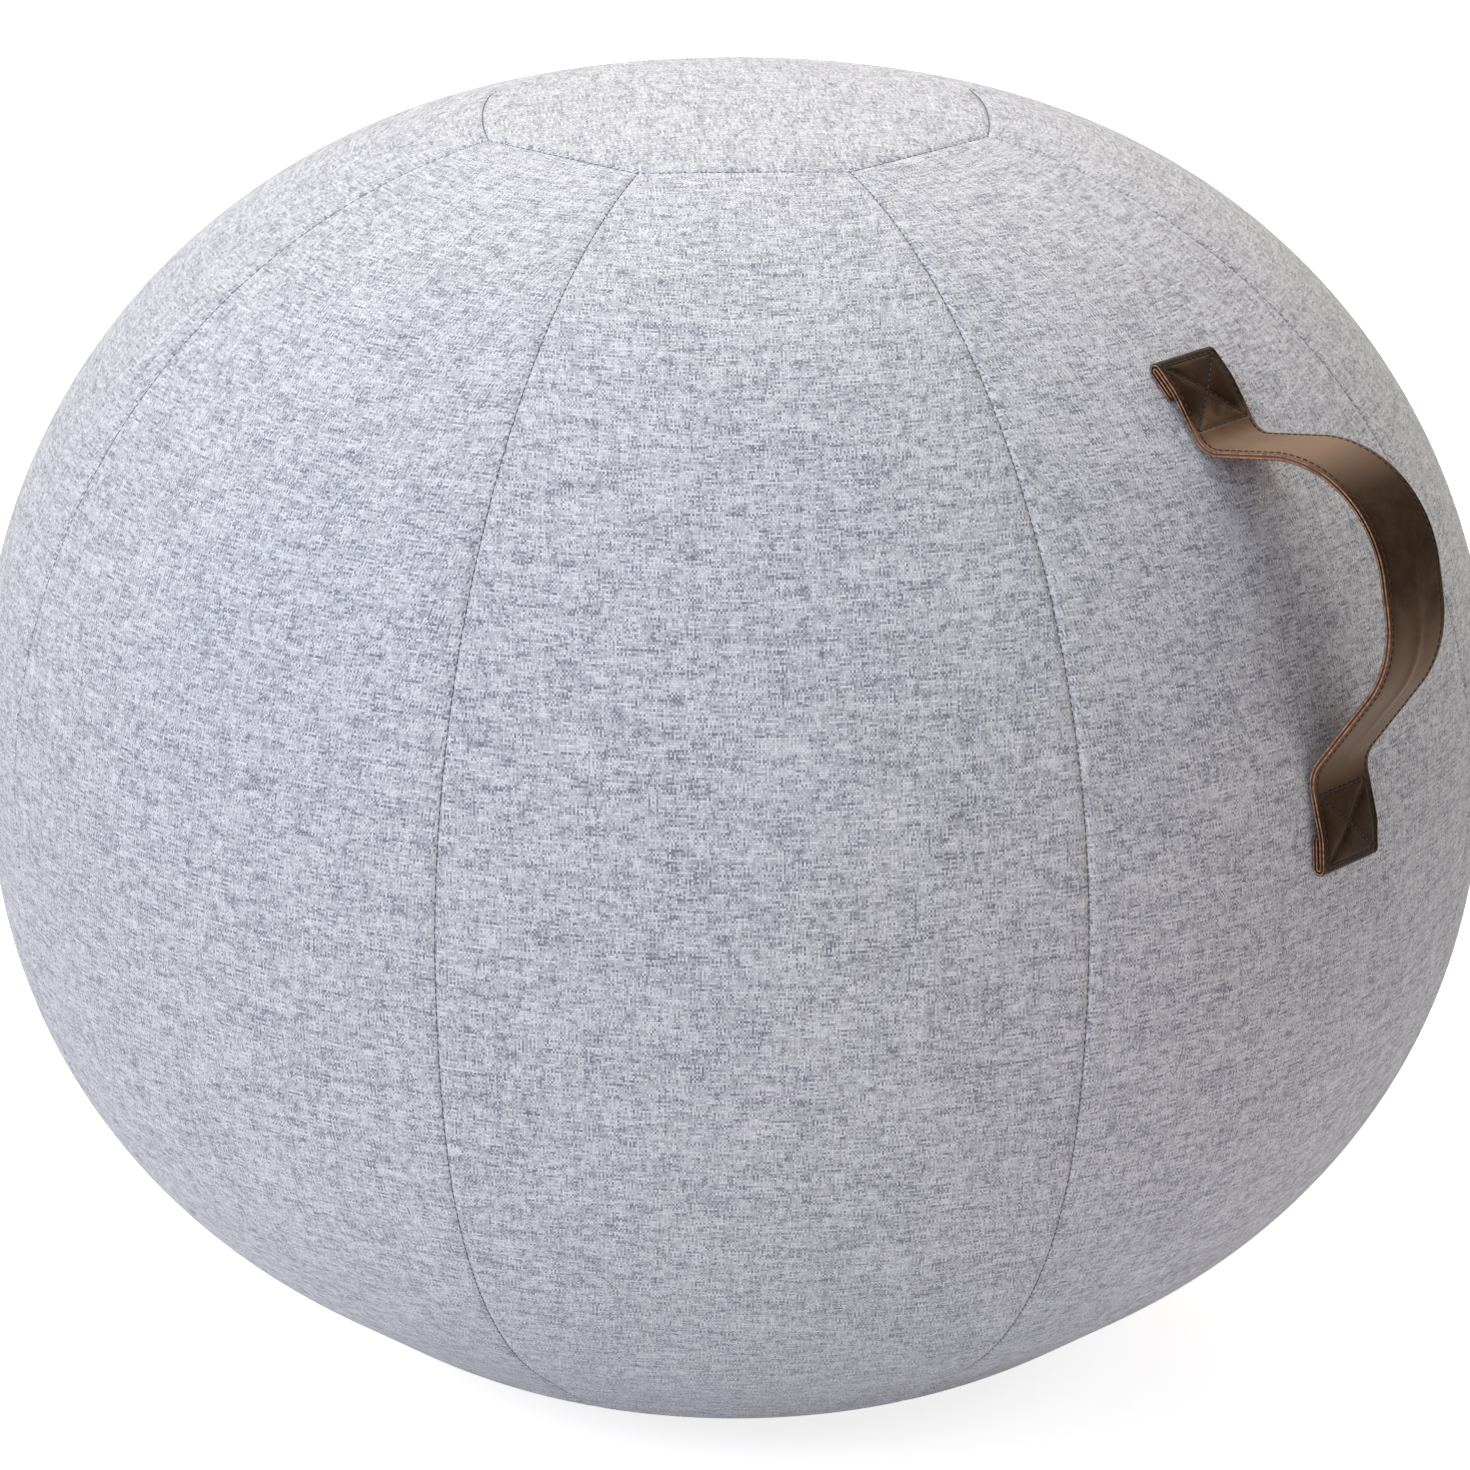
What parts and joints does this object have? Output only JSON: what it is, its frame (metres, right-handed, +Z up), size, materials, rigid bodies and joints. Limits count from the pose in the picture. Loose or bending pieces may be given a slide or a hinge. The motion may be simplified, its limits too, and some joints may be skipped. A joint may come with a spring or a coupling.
{
  "type": "sitting ball",
  "caption": "Round sitting ball in a light grey fabric cover with a flat base, an inflated bladder inside and a brown leatherette carrying strap on its side.",
  "frame": {"origin": "on the floor, at the middle of the flat base", "axes": "+Z up, +X through the middle of the gore that carries the handle"},
  "size_m": [0.6818, 0.65, 0.5565],
  "materials": {
    "cover_fabric": "light grey melange polyester weave",
    "base_fabric": "charcoal non-slip coated weave",
    "zip_tape": "grey woven zip tape",
    "zip_coil": "grey nylon coil",
    "zip_metal": "grey lacquered zinc",
    "bladder_pvc": "grey soft pvc",
    "valve_plastic": "white moulded pvc",
    "ring_foam": "closed cell foam",
    "strap_leatherette": "brown waxed leatherette with tan raw edges",
    "strap_thread": "dark brown polyester thread",
    "patch_webbing": "woven polyester webbing"
  },
  "bodies": {
    "cover": {"cover_gore_000": "cover_fabric", "cover_gore_045": "cover_fabric", "cover_gore_090": "cover_fabric", "cover_gore_135": "cover_fabric", "cover_gore_180": "cover_fabric", "cover_gore_225": "cover_fabric", "cover_gore_270": "cover_fabric", "cover_gore_315": "cover_fabric", "cover_cap": "cover_fabric", "base_panel": "base_fabric", "zip_tape_outer": "zip_tape", "zip_tape_inner": "zip_tape", "zip_coil_outer": "zip_coil", "zip_coil_inner": "zip_coil", "zip_end_stops": "zip_metal", "air_bladder": "bladder_pvc", "valve_collar": "valve_plastic", "base_ring": "ring_foam", "handle_root_upper": "strap_leatherette", "handle_root_lower": "strap_leatherette", "handle_end_upper": "strap_leatherette", "handle_end_lower": "strap_leatherette", "handle_stitching_upper": "strap_thread", "handle_stitching_lower": "strap_thread", "reinforcing_patch_upper": "patch_webbing", "reinforcing_patch_lower": "patch_webbing"},
    "handle_loop": {"handle_strap_face": "strap_leatherette", "handle_strap_lining": "strap_leatherette"},
    "slider": {"zip_slider": "zip_metal"},
    "plug": {"valve_plug": "valve_plastic"}
  },
  "joints": [
    {"name": "handle_swing", "type": "hinge", "parent": "cover", "child": "handle_loop", "pos_m": [0.26058, 0, 0.46146], "axis": [0.4304, 0, -0.9027], "range_deg": [-30, 30], "stiffness_Nm_per_rad": 0.3, "deforming": ["handle_root_upper", "handle_root_lower"]},
    {"name": "zip_slider_travel", "type": "hinge", "parent": "cover", "child": "slider", "pos_m": [0, 0, 0], "axis": [0, 0, 1], "range_deg": [0, 151]},
    {"name": "valve_plug_pull", "type": "slide", "parent": "cover", "child": "plug", "axis": [0, 0, -1], "range_m": [0, 0.012]}
  ]
}
